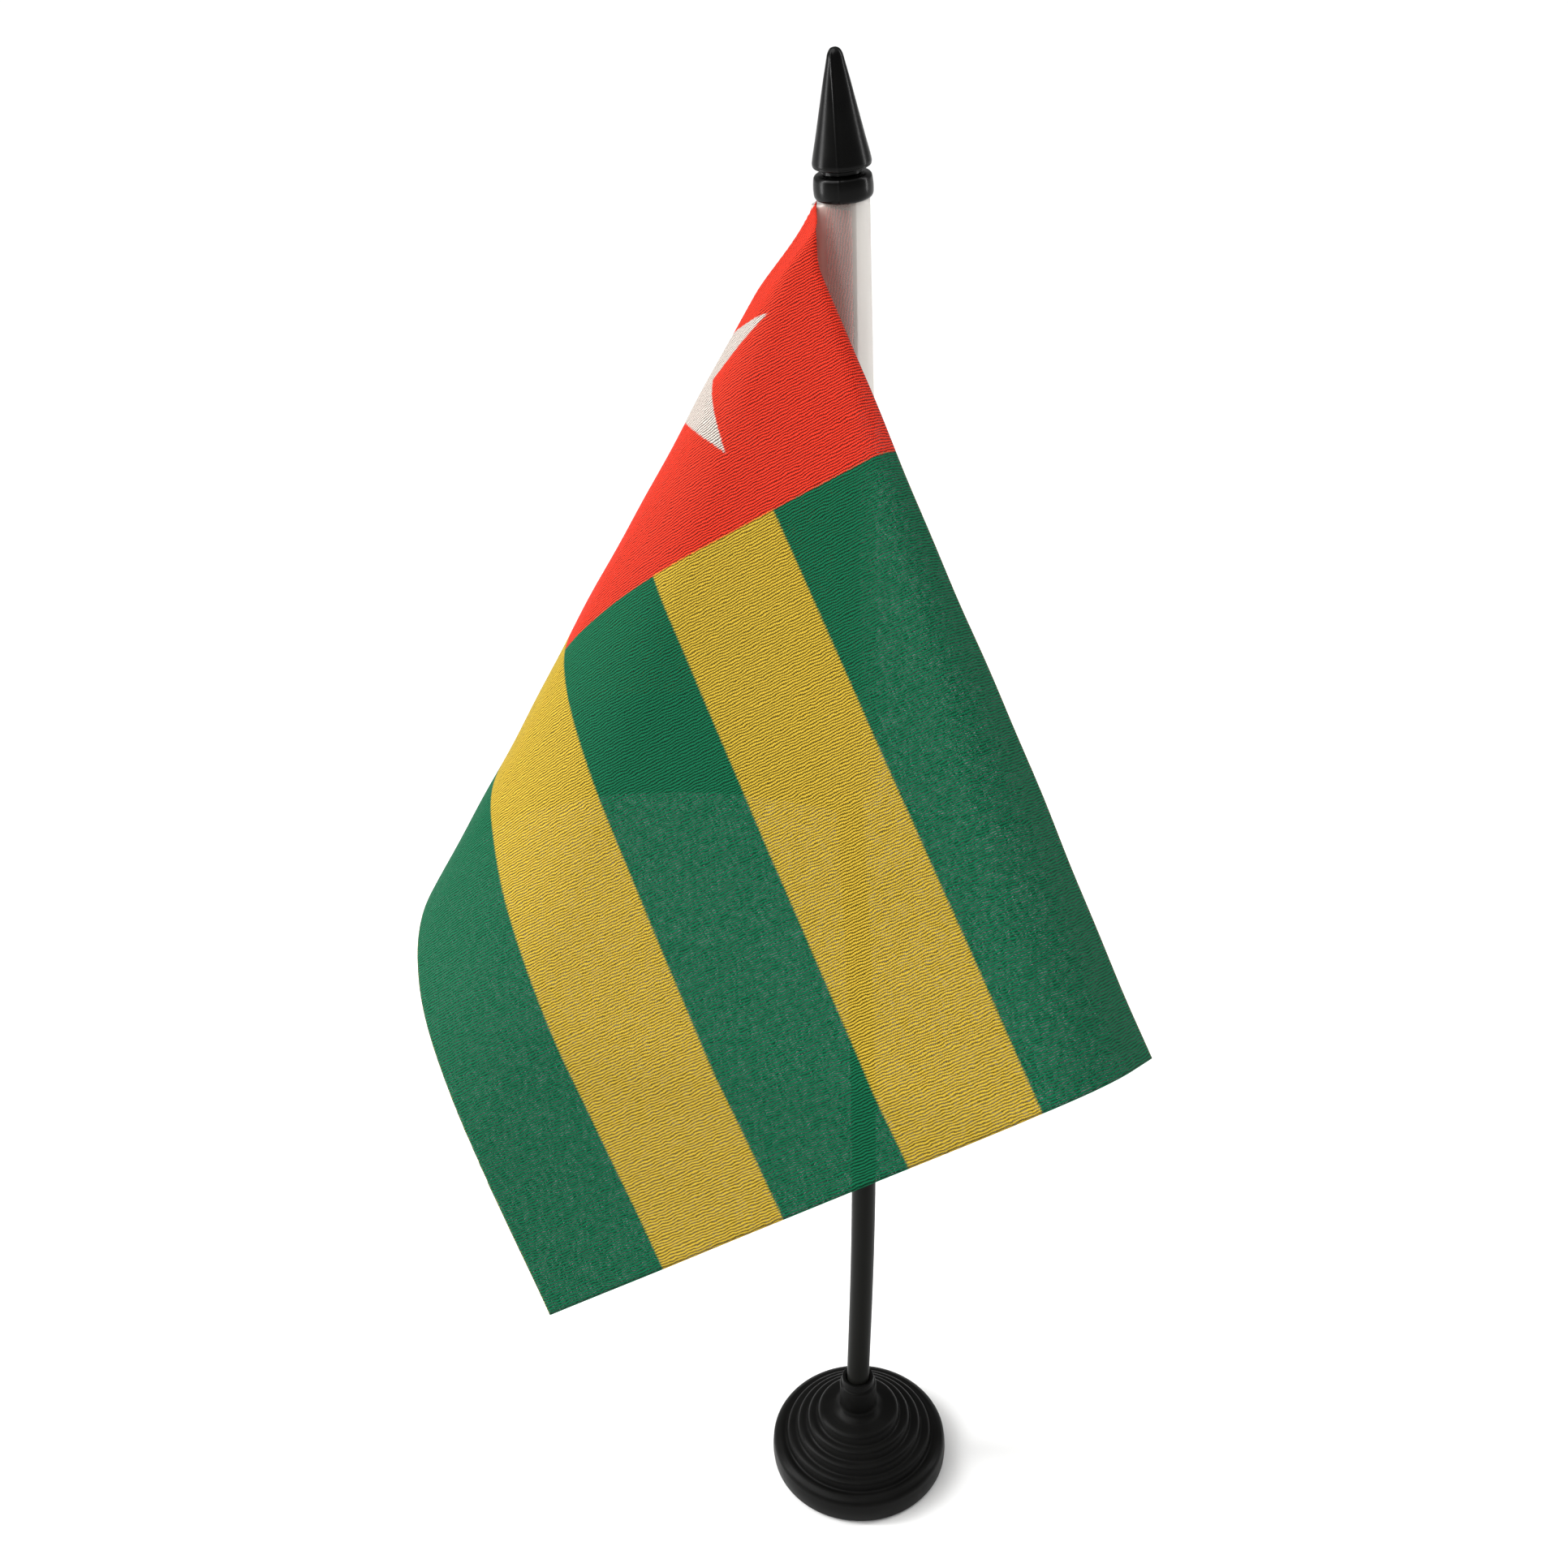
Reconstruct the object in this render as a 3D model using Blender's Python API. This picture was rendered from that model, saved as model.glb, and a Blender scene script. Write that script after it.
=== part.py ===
"""Desk flag stand: a moulded foot, a stick, a push-on finial, a film sleeve and a cloth flag.

World frame: the stick's axis is +Z, the origin is under the middle of the foot, units are metres.
The cloth leaves the sleeve towards -X, turns round in a wide fold and crosses in front, on the -Y side.
"""

import math

import bmesh
import bpy
import numpy as np

MM = 0.001

# Stick and its sockets
POLE_RADIUS = 2.35 * MM
RUNNING_GAP = 0.1 * MM
SEAT_GAP = 0.3 * MM
SOCKET_FLOOR = 6.0 * MM
SOCKET_RADIUS = POLE_RADIUS + RUNNING_GAP
POLE_BOTTOM = SOCKET_FLOOR + SEAT_GAP
END_CHAMFER = 0.4 * MM

# Foot
BASE_RADIUS = 18.65 * MM
RIM_CURVE = 2.65 * MM
FOOT_RADIUS = 17.6 * MM
TERRACES = 4
TERRACE_OUTER = 16.3 * MM
TERRACE_INNER = 7.2 * MM
TERRACE_LOW = 6.9 * MM
TERRACE_HIGH = 15.0 * MM
BOSS_TOP = 24.3 * MM
POCKET_OUTER = 15.2 * MM
POCKET_INNER = 5.0 * MM
POCKET_ROOF_OUTER = 4.6 * MM
POCKET_ROOF_INNER = 11.6 * MM
RIBS = 6
RIB_HALF_ANGLE = math.radians(4.0)

# Finial
FINIAL_BOTTOM = 270.6 * MM
FINIAL_TOP = 290.9 * MM
FINIAL_BORE_DEPTH = 12.0 * MM
POLE_TOP = FINIAL_BOTTOM + FINIAL_BORE_DEPTH - SEAT_GAP

# Sleeve
SLEEVE_TOP = 270.2 * MM
SLEEVE_BOTTOM = 170.2 * MM
SLEEVE_HALF_WIDTH = 4.05 * MM
SLEEVE_HALF_DEPTH = 2.75 * MM
FILM = 0.3 * MM

# Cloth, in its own flat coordinates: u from the hoist to the fly, v from the top edge down
FLY_LENGTH = 150.0 * MM
HOIST_HEIGHT = 100.0 * MM
CLOTH_THICKNESS = 0.3 * MM
HOIST_AT_TOP = 18.8 * MM
HOIST_TOP = 269.3 * MM
HOIST_SKEW = math.radians(9.3)
HOIST_CLEARANCE = 0.6 * MM
EXIT_TURN = math.radians(-5.3)
CELLS_ALONG = 40
CELLS_DOWN = 26

# The fold is made of fans of small creases. Each fan runs from its first crease to its last, and a crease is
# given by where it meets the top edge (mm of u) and its angle to that edge (degrees). Then come the fan's
# whole turn in degrees and the number of creases in it. The last fan lifts only the lower fly corner.
CREASE_FANS = (
    ((19.9, 96.0), (19.9, 72.0), -41.6, 7),
    ((19.9, 72.0), (20.2, 54.1), -68.8, 12),
    ((26.3, 61.0), (26.9, 44.1), -45.6, 8),
    ((27.2, 8.4), (27.8, 2.5), -64.0, 12),
    ((165.3, 124.8), (161.4, 117.4), -9.5, 3),
)

TURN_STEPS = 48


def clear_scene():
    for old in list(bpy.data.objects):
        bpy.data.objects.remove(old, do_unlink=True)


def material(name, colour, roughness, alpha=1.0):
    made = bpy.data.materials.new(name)
    made.use_nodes = True
    shader = made.node_tree.nodes["Principled BSDF"]
    shader.inputs["Base Color"].default_value = (*colour, 1.0)
    shader.inputs["Roughness"].default_value = roughness
    shader.inputs["Metallic"].default_value = 0.0
    shader.inputs["Alpha"].default_value = alpha
    return made


def add_object(name, mesh, finish):
    made = bpy.data.objects.new(name, mesh)
    bpy.context.scene.collection.objects.link(made)
    mesh.materials.append(finish)
    return made


def turned(name, profile, finish, steps=TURN_STEPS):
    """A solid of revolution about Z. The profile runs from the axis down the outer side and back to the axis."""
    mesh = bpy.data.meshes.new(name)
    points = [(radius, 0.0, height) for radius, height in profile]
    mesh.from_pydata(points, [(i, i + 1) for i in range(len(points) - 1)], [])
    made = add_object(name, mesh, finish)
    spin = made.modifiers.new("turn", "SCREW")
    spin.axis = "Z"
    spin.angle = 2 * math.pi
    spin.steps = steps
    spin.render_steps = steps
    spin.use_merge_vertices = True
    spin.merge_threshold = 1e-6
    spin.use_smooth_shade = True
    return made


def arc(centre, radius, start, end, count):
    """Points on a circle in the profile plane, angles in degrees from +radius towards +Z."""
    angles = [math.radians(start + (end - start) * i / count) for i in range(count + 1)]
    return [(centre[0] + radius * math.cos(a), centre[1] + radius * math.sin(a)) for a in angles]


def terrace_profile():
    """The stepped cone, inside to outside: each terrace is a crest, a rounded lip, a riser and a groove."""
    run = (TERRACE_OUTER - TERRACE_INNER) / TERRACES
    rise = (TERRACE_HIGH - TERRACE_LOW) / TERRACES
    points = []
    for step in range(TERRACES):
        inner = TERRACE_INNER + run * step
        crest = TERRACE_HIGH - rise * step
        points.append((inner, crest))
        points.append((inner + 0.42 * run, crest - 0.14 * rise))
        points.append((inner + 0.60 * run, crest - 0.34 * rise))
        points.append((inner + 0.72 * run, crest - 0.72 * rise))
        points.append((inner + 0.82 * run, crest - 1.02 * rise))
    return points


def base_profile():
    """Foot outline from the socket floor up, over the collar, down the terraces, round the rim and in below."""
    boss = [
        (0.0, SOCKET_FLOOR),
        (SOCKET_RADIUS, SOCKET_FLOOR),
        (SOCKET_RADIUS, BOSS_TOP - 0.5 * MM),
        (2.75 * MM, BOSS_TOP),
        (3.0 * MM, BOSS_TOP),
        (3.25 * MM, BOSS_TOP - 0.25 * MM),
        (3.25 * MM, BOSS_TOP - 1.4 * MM),
        (3.7 * MM, BOSS_TOP - 1.8 * MM),
        (3.85 * MM, BOSS_TOP - 2.4 * MM),
        (3.8 * MM, BOSS_TOP - 5.6 * MM),
    ]
    fillet = [
        (4.0 * MM, TERRACE_HIGH + 2.6 * MM),
        (4.6 * MM, TERRACE_HIGH + 1.2 * MM),
        (5.6 * MM, TERRACE_HIGH + 0.4 * MM),
    ]
    rim = arc((BASE_RADIUS - RIM_CURVE, 4.1 * MM), RIM_CURVE, 82, -10, 8)
    foot = [
        (18.5 * MM, 1.5 * MM),
        (18.2 * MM, 0.45 * MM),
        (FOOT_RADIUS, 0.0),
        (0.0, 0.0),
    ]
    return boss + fillet + terrace_profile() + rim + foot


def pocket_cutter(finish):
    """Six sector-shaped pockets under the foot, deeper towards the middle, which leave six ribs between them."""
    shape = bmesh.new()
    steps = 6
    for rib in range(RIBS):
        start = 2 * math.pi * rib / RIBS + RIB_HALF_ANGLE
        sweep = 2 * math.pi / RIBS - 2 * RIB_HALF_ANGLE
        rings = []
        for step in range(steps + 1):
            angle = start + sweep * step / steps
            corners = (
                (POCKET_INNER, -1.0 * MM),
                (POCKET_OUTER, -1.0 * MM),
                (POCKET_OUTER - 0.4 * MM, POCKET_ROOF_OUTER),
                (POCKET_INNER + 0.4 * MM, POCKET_ROOF_INNER),
            )
            ring = [shape.verts.new((r * math.cos(angle), r * math.sin(angle), z)) for r, z in corners]
            rings.append(ring)
        shape.faces.new(rings[0])
        shape.faces.new(rings[-1][::-1])
        for near, far in zip(rings, rings[1:]):
            for i in range(4):
                j = (i + 1) % 4
                shape.faces.new((near[j], near[i], far[i], far[j]))
    bmesh.ops.recalc_face_normals(shape, faces=shape.faces)
    mesh = bpy.data.meshes.new("pocket_cutter")
    shape.to_mesh(mesh)
    shape.free()
    cutter = add_object("pocket_cutter", mesh, finish)
    cutter.hide_render = True
    cutter.display_type = "WIRE"
    return cutter


def make_base():
    finish = material("base_plastic", (0.022, 0.022, 0.023), 0.5)
    base = turned("base", base_profile(), finish)
    cut = base.modifiers.new("pockets", "BOOLEAN")
    cut.operation = "DIFFERENCE"
    cut.solver = "EXACT"
    cut.object = pocket_cutter(finish)
    return base


def make_pole(axis):
    profile = [
        (0.0, POLE_TOP),
        (POLE_RADIUS - END_CHAMFER, POLE_TOP),
        (POLE_RADIUS, POLE_TOP - END_CHAMFER),
        (POLE_RADIUS, POLE_BOTTOM + END_CHAMFER),
        (POLE_RADIUS - END_CHAMFER, POLE_BOTTOM),
        (0.0, POLE_BOTTOM),
    ]
    pole = turned("pole", profile, material("pole_plastic", (0.028, 0.028, 0.029), 0.42))
    pole.parent = axis
    return pole


def finial_profile():
    """Tip, slightly crowned cone, groove, collar and blind bore."""
    tip = [(0.0, FINIAL_TOP), (0.45 * MM, 290.8 * MM), (0.8 * MM, 290.5 * MM), (1.05 * MM, 290.05 * MM),
           (1.22 * MM, 289.45 * MM)]
    cone_top = (1.36 * MM, 288.75 * MM)
    cone_foot = (4.05 * MM, 276.8 * MM)
    crown = 0.07 * MM
    steps = 6
    cone = []
    for i in range(steps + 1):
        t = i / steps
        bulge = crown * math.sin(math.pi * t)
        cone.append((cone_top[0] + (cone_foot[0] - cone_top[0]) * t + bulge,
                     cone_top[1] + (cone_foot[1] - cone_top[1]) * t))
    lip = arc((3.6 * MM, 276.0 * MM), 0.6 * MM, 20, -75, 4)
    groove = [(3.05 * MM, 275.15 * MM), (3.05 * MM, 274.85 * MM)]
    collar = arc((3.5 * MM, 273.8 * MM), 0.75 * MM, 80, 0, 4) + arc((3.45 * MM, 271.4 * MM), 0.78 * MM, 0, -80, 4)
    bore = [
        (3.2 * MM, FINIAL_BOTTOM),
        (SOCKET_RADIUS + 0.35 * MM, FINIAL_BOTTOM),
        (SOCKET_RADIUS, FINIAL_BOTTOM + 0.35 * MM),
        (SOCKET_RADIUS, FINIAL_BOTTOM + FINIAL_BORE_DEPTH),
        (0.0, FINIAL_BOTTOM + FINIAL_BORE_DEPTH),
    ]
    return tip + cone + lip + groove + collar + bore


def make_finial(axis):
    finial = turned("finial", finial_profile(), material("finial_plastic", (0.02, 0.02, 0.021), 0.3))
    finial.parent = axis
    return finial


def make_sleeve(axis):
    """The film pocket: an oval tube, open at both ends."""
    finish = material("film", (0.86, 0.87, 0.86), 0.2, 0.45)
    shape = bmesh.new()
    steps = 40
    loops = []
    for height in (SLEEVE_BOTTOM, SLEEVE_TOP):
        for inset in (0.0, FILM):
            loop = []
            for i in range(steps):
                angle = 2 * math.pi * i / steps
                x = (SLEEVE_HALF_WIDTH - inset) * math.cos(angle)
                y = (SLEEVE_HALF_DEPTH - inset) * math.sin(angle)
                loop.append(shape.verts.new((x, y, height)))
            loops.append(loop)
    outer_low, inner_low, outer_high, inner_high = loops
    for near, far in ((outer_low, outer_high), (outer_high, inner_high), (inner_high, inner_low),
                      (inner_low, outer_low)):
        for i in range(steps):
            j = (i + 1) % steps
            shape.faces.new((near[i], near[j], far[j], far[i]))
    bmesh.ops.recalc_face_normals(shape, faces=shape.faces)
    mesh = bpy.data.meshes.new("sleeve")
    shape.to_mesh(mesh)
    shape.free()
    mesh.shade_smooth()
    sleeve = add_object("sleeve", mesh, finish)
    sleeve.parent = axis
    return sleeve


def crease_fan():
    """The cloth's many small creases, hoist to fly: (u on the top edge, angle to it, turn of the far side)."""
    creases = []
    for (u_near, angle_near), (u_far, angle_far), turn, count in CREASE_FANS:
        for i in range(count):
            t = (i + 0.5) / count
            where = u_near + (u_far - u_near) * t
            angle = angle_near + (angle_far - angle_near) * t
            creases.append((where * MM, math.radians(angle), math.radians(turn) / count))
    return creases


def folded(u, v):
    """Bends the flat cloth about each crease in turn, the one farthest from the hoist first."""
    points = np.stack([u, v, np.zeros_like(u)], axis=-1)
    for where, angle, turn in reversed(crease_fan()):
        along = np.array([math.cos(angle), math.sin(angle), 0.0])
        foot = np.array([where, 0.0, 0.0])
        beyond = (u - where) * along[1] - v * along[0] > 0
        arm = points[beyond] - foot
        swung = np.cross(along, arm) * math.sin(turn)
        kept = np.outer(arm @ along, along) * (1 - math.cos(turn))
        points[beyond] = foot + arm * math.cos(turn) + swung + kept
    return points


def hung(points):
    """Sets the folded cloth against the sleeve, askew by HOIST_SKEW and turned EXIT_TURN towards the front."""
    out = points[..., 0] - HOIST_AT_TOP
    across = out * math.cos(HOIST_SKEW) + points[..., 1] * math.sin(HOIST_SKEW)
    down = points[..., 1] * math.cos(HOIST_SKEW) - out * math.sin(HOIST_SKEW)
    x = -across * math.cos(EXIT_TURN) + points[..., 2] * math.sin(EXIT_TURN)
    y = -across * math.sin(EXIT_TURN) - points[..., 2] * math.cos(EXIT_TURN)
    return np.stack([x - SLEEVE_HALF_WIDTH, y, HOIST_TOP - down], axis=-1)


def make_cloth(axis):
    """The cloth outside the sleeve, as a grid over its flat outline, given its thickness by Solidify."""
    down = np.linspace(0.0, HOIST_HEIGHT, CELLS_DOWN + 1)
    start = HOIST_AT_TOP + HOIST_CLEARANCE - down * math.tan(HOIST_SKEW)
    share = np.linspace(0.0, 1.0, CELLS_ALONG + 1)
    u = start[None, :] + (FLY_LENGTH - start[None, :]) * share[:, None]
    v = np.broadcast_to(down, u.shape)
    points = hung(folded(u, v)).reshape(-1, 3)
    row = CELLS_DOWN + 1
    faces = []
    for i in range(CELLS_ALONG):
        for j in range(CELLS_DOWN):
            corner = i * row + j
            faces.append((corner, corner + 1, corner + row + 1, corner + row))
    mesh = bpy.data.meshes.new("flag_cloth")
    mesh.from_pydata(points.tolist(), [], faces)
    mesh.shade_smooth()
    cloth = add_object("flag_cloth", mesh, material("cloth", (0.75, 0.06, 0.03), 0.85))
    cloth.parent = axis
    thick = cloth.modifiers.new("thickness", "SOLIDIFY")
    thick.thickness = CLOTH_THICKNESS
    thick.offset = 0.0
    thick.use_even_offset = False
    return cloth


def main():
    clear_scene()
    axis = bpy.data.objects.new("stick_axis", None)
    bpy.context.scene.collection.objects.link(axis)
    make_base()
    make_pole(axis)
    make_finial(axis)
    make_sleeve(axis)
    make_cloth(axis)


main()
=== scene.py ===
# %% [markdown]
# # A desk flag on its stand
#
# The object is a small printed cloth flag. Its hoist is sealed into a milky film pocket, the pocket is slipped over
# a thin black stick, the stick stands in a round stepped foot, and a pointed cap closes its top end.
#
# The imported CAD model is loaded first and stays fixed. Every finer surface made below takes its place from that
# model's boxes, rides on one of its bodies, and hides the solid it stands for.

import math

import bpy
import numpy as np
from mathutils import Matrix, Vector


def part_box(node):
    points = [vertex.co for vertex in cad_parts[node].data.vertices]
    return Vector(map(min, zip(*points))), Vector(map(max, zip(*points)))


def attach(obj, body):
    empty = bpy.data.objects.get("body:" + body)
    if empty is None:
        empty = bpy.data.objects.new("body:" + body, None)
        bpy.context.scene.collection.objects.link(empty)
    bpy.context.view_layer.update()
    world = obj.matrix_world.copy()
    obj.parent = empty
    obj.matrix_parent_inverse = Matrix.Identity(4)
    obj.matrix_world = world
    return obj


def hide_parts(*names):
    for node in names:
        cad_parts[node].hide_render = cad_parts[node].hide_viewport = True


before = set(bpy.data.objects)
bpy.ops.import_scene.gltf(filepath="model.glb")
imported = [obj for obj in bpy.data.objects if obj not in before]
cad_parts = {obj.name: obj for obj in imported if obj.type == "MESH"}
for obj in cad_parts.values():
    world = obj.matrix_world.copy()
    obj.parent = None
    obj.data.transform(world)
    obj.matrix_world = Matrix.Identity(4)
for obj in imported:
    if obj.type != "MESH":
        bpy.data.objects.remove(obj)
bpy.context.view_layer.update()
MM = 0.001

# %% [markdown]
# ## The view
#
# The stand is seen from a little above and from close by: the camera is 0.43 m from the foot, looks down by
# 32 degrees and is rolled by 2 degrees. A close camera makes the foot look small and the cloth large, so its
# distance matters as much as its angle. It is placed by its three axes rather than by a target.

# %% Camera
CAMERA_AT = (0.0, -264.16 * MM, 338.11 * MM)
PITCH = math.radians(31.99)
YAW = math.radians(2.381)
ROLL = math.radians(2.153)
LENS_MM = 42.11
SENSOR_MM = 36.0


def unit(vector):
    """The vector divided by its own length."""
    return vector / np.linalg.norm(vector)


def camera_axes():
    """Right, up and back as unit vectors: the level right-hand axis and its perpendicular, rolled about the view."""
    ahead = np.array([
        -math.sin(YAW) * math.cos(PITCH),
        math.cos(YAW) * math.cos(PITCH),
        -math.sin(PITCH),
    ])
    level = np.array([math.cos(YAW), math.sin(YAW), 0.0])
    below = unit(np.cross(ahead, level))
    right = level * math.cos(ROLL) + below * math.sin(ROLL)
    down = -level * math.sin(ROLL) + below * math.cos(ROLL)
    return right, -down, -ahead


def turned_to(right, up, back):
    """The rotation whose columns are these three axes, as a 4 x 4 matrix."""
    return Matrix(np.stack([right, up, back], axis=1).tolist()).to_4x4()


right, up, back = camera_axes()
lens = bpy.data.cameras.new("view")
lens.lens = LENS_MM
lens.sensor_width = SENSOR_MM
lens.clip_start = 0.01
camera = bpy.data.objects.new("view", lens)
bpy.context.scene.collection.objects.link(camera)
camera.matrix_world = Matrix.Translation(CAMERA_AT) @ turned_to(right, up, back)
bpy.context.scene.camera = camera
print("camera up axis:", np.round(up, 3))

# %% [markdown]
# ## Floor and light
#
# The stand is on a wide plain sheet, nearly white. Two very wide suns light it: they have no falloff, so the far floor
# is as pale as the near floor, and their shadows are faint. The stronger one comes from the left, because the cloth
# is brightest where its fold turns left. Black plastic shows its shape only by what it mirrors, so two tall narrow
# strips are added at the sides, and they leave thin highlights down the cap and along the rings of the foot.


# %% Floor
def plain(name, colour, roughness):
    """A material of one Principled shader, returned with its node tree and shader for more nodes."""
    made = bpy.data.materials.new(name)
    made.use_nodes = True
    tree = made.node_tree
    shader = tree.nodes["Principled BSDF"]
    shader.inputs["Base Color"].default_value = (*colour, 1.0)
    shader.inputs["Roughness"].default_value = roughness
    return made, tree, shader


def wire(tree, kind, settings=None, **inputs):
    """Adds a node, sets its plain settings, then links or sets each input by name (or by i0, i1 ... for a place)."""
    node = tree.nodes.new(kind)
    for name, value in (settings or {}).items():
        setattr(node, name, value)
    for name, value in inputs.items():
        key = int(name[1:]) if name[0] == "i" and name[1:].isdigit() else name.replace("_", " ")
        if isinstance(value, bpy.types.NodeSocket):
            tree.links.new(value, node.inputs[key])
        else:
            node.inputs[key].default_value = value
    return node


def ranged(tree, value, start, end, first, last):
    """Output of a Map Range node: value runs from start to end, and the result from first to last, clamped."""
    node = wire(tree, "ShaderNodeMapRange", Value=value)
    for name, number in (("From Min", start), ("From Max", end), ("To Min", first), ("To Max", last)):
        node.inputs[name].default_value = number
    return node.outputs[0]


def add_object(name, data):
    """An object made from its data and put into the scene."""
    made = bpy.data.objects.new(name, data)
    bpy.context.scene.collection.objects.link(made)
    return made


def paper_material():
    """Pale matt paper with a fine grain."""
    made, tree, shader = plain("pale_paper", (0.76, 0.76, 0.757), 0.7)
    place = wire(tree, "ShaderNodeTexCoord")
    grain = wire(tree, "ShaderNodeTexNoise", Vector=place.outputs["Object"], Scale=900.0, Detail=2.0)
    bump = wire(tree, "ShaderNodeBump", Height=grain.outputs[0], Strength=0.05, Distance=0.0002)
    tree.links.new(bump.outputs[0], shader.inputs["Normal"])
    return made


FLOOR_HALF = 4.0
floor_mesh = bpy.data.meshes.new("floor")
floor_corners = [(x * FLOOR_HALF, y * FLOOR_HALF, 0) for x, y in ((-1, -1), (1, -1), (1, 1), (-1, 1))]
floor_mesh.from_pydata(floor_corners, [], [(0, 1, 2, 3)])
floor_mesh.materials.append(paper_material())
floor = add_object("floor", floor_mesh)
print("floor:", 2 * FLOOR_HALF, "m wide")


# %% Lights
STRIP_AIM = np.array([0.0, 0.0, 0.25])
WORLD_STRENGTH = 0.36


def lamp_turned(lamp, at, out):
    """Puts a lamp at a point with its back towards out, and its sides level and upright."""
    holder = add_object(lamp.name, lamp)
    side = unit(np.cross((0.0, 0.0, 1.0), out))
    holder.matrix_world = Matrix.Translation(at) @ turned_to(side, np.cross(out, side), out)


def strip_light(name, at, size, power):
    """A rectangular lamp at a point, facing the middle of the stand."""
    lamp = bpy.data.lights.new(name, "AREA")
    lamp.shape = "RECTANGLE"
    lamp.size, lamp.size_y = size
    lamp.energy = power
    lamp_turned(lamp, at, unit(np.array(at) - STRIP_AIM))


def wide_sun(name, towards, strength, spread):
    """A lamp with no falloff that shines towards a direction. spread is its width in degrees and softens shadows."""
    lamp = bpy.data.lights.new(name, "SUN")
    lamp.energy = strength
    lamp.angle = math.radians(spread)
    lamp_turned(lamp, (0.0, 0.0, 0.0), unit(-np.array(towards, float)))


wide_sun("key", (0.62, 0.25, -1.0), 3.0, 60.0)
wide_sun("overhead", (0.0, 0.1, -1.0), 0.9, 80.0)
strip_light("left_strip", (-0.55, 0.0, 0.40), (0.10, 0.7), 4.0)
strip_light("right_strip", (0.55, 0.1, 0.45), (0.04, 0.7), 1.8)
world = bpy.data.worlds.new("studio")
world.use_nodes = True
sky = world.node_tree.nodes["Background"]
sky.inputs["Color"].default_value = (1.0, 1.0, 1.0, 1.0)
sky.inputs["Strength"].default_value = WORLD_STRENGTH
bpy.context.scene.world = world
bpy.context.scene.view_settings.view_transform = "Standard"

# %% [markdown]
# ## Moulded and drawn plastic
#
# The foot, the stick and the cap are the same black plastic with three finishes. A moulding is never one flat black:
# it has a faint flow mottle from the mould and a fine grain that only shows in a highlight. The colour varies by a
# fifth around a very dark mean, and a mottled roughness and a very small bump do the rest.


# %% Black plastic
FLOW_SCALE = 140.0
DARKER, PALER = 0.8, 1.25


def black_plastic(name, tone, roughness, spread, grain_size, grain_depth, gloss, drawn=1.0):
    """Black with mottled roughness and fine grain. drawn stretches the grain along Z, as on a drawn rod.

    grain_size and grain_depth are in mm, spread is how far roughness strays, gloss is the mirror share."""
    made, tree, shader = plain(name, tone, roughness)
    shader.inputs["Specular IOR Level"].default_value = gloss
    place = wire(tree, "ShaderNodeTexCoord")
    stretched = wire(tree, "ShaderNodeMapping", Vector=place.outputs["Object"], Scale=(1.0, 1.0, 1.0 / drawn))
    flow = wire(tree, "ShaderNodeTexNoise", Vector=stretched.outputs[0], Scale=FLOW_SCALE, Detail=3.0)
    grain_scale = 1.0 / (grain_size * MM)
    fine = wire(tree, "ShaderNodeTexNoise", Vector=stretched.outputs[0], Scale=grain_scale, Detail=2.0)
    rough = ranged(tree, flow.outputs[0], 0.3, 0.7, roughness - spread, roughness + spread)
    tree.links.new(rough, shader.inputs["Roughness"])
    shade = wire(tree, "ShaderNodeValToRGB", Fac=flow.outputs[0])
    for element, position, factor in zip(shade.color_ramp.elements, (0.3, 0.72), (DARKER, PALER)):
        element.position = position
        element.color = (*[c * factor for c in tone], 1.0)
    tree.links.new(shade.outputs[0], shader.inputs["Base Color"])
    bump = wire(tree, "ShaderNodeBump", Height=fine.outputs[0], Strength=0.35, Distance=grain_depth * MM)
    tree.links.new(bump.outputs[0], shader.inputs["Normal"])
    return made


foot_black = black_plastic("foot_black", (0.0028, 0.0028, 0.0026), roughness=0.38, spread=0.08,
                           grain_size=0.4, grain_depth=0.02, gloss=0.06)
stick_black = black_plastic("stick_black", (0.0060, 0.0061, 0.0053), roughness=0.38, spread=0.07,
                            grain_size=0.2, grain_depth=0.01, gloss=0.045, drawn=30.0)
cap_black = black_plastic("cap_black", (0.0018, 0.0018, 0.0017), roughness=0.25, spread=0.06,
                          grain_size=0.3, grain_depth=0.01, gloss=0.11)
print("plastics:", foot_black.name, stick_black.name, cap_black.name)

# %% [markdown]
# ## Turned shapes
#
# Foot, stick and cap are all turned shapes: one outline swept round Z. The outline is written as a list of corners,
# each with the radius that rounds it, so a drawing's worth of numbers gives a smooth curve. A corner between two
# straight runs is replaced by a short curve that touches both runs. The swept surface is then a grid, outline points
# by angles, and only its two poles on the axis need triangles.


# %% Outline and turning helpers
def rounded(corners, steps=6):
    """Radius and height along an outline given by its (radius, height, rounding) corners.

    Each corner becomes a quadratic curve (1-t)^2 start + 2t(1-t) corner + t^2 end, tangent to both runs. Its ends
    are set back along the runs by the rounding, at most by half a run."""
    points = np.array([c[:2] for c in corners], float)
    sets = np.array([c[2] for c in corners], float)
    out = [points[:1]]
    for i in range(1, len(points) - 1):
        before, after = points[i - 1] - points[i], points[i + 1] - points[i]
        reach = min(sets[i], 0.5 * np.linalg.norm(before), 0.5 * np.linalg.norm(after))
        if reach < 1e-6:
            out.append(points[i:i + 1])
            continue
        start, end = points[i] + unit(before) * reach, points[i] + unit(after) * reach
        t = np.linspace(0.0, 1.0, steps)[:, None]
        out.append((1 - t) ** 2 * start + 2 * t * (1 - t) * points[i] + t ** 2 * end)
    out.append(points[-1:])
    return np.concatenate(out)


def object_from(name, points, faces, finish):
    """A smooth-shaded mesh object from an array of points and a list of faces."""
    mesh = bpy.data.meshes.new(name)
    mesh.from_pydata(points.reshape(-1, 3).tolist(), [], faces)
    mesh.shade_smooth()
    mesh.materials.append(finish)
    return add_object(name, mesh)


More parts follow.
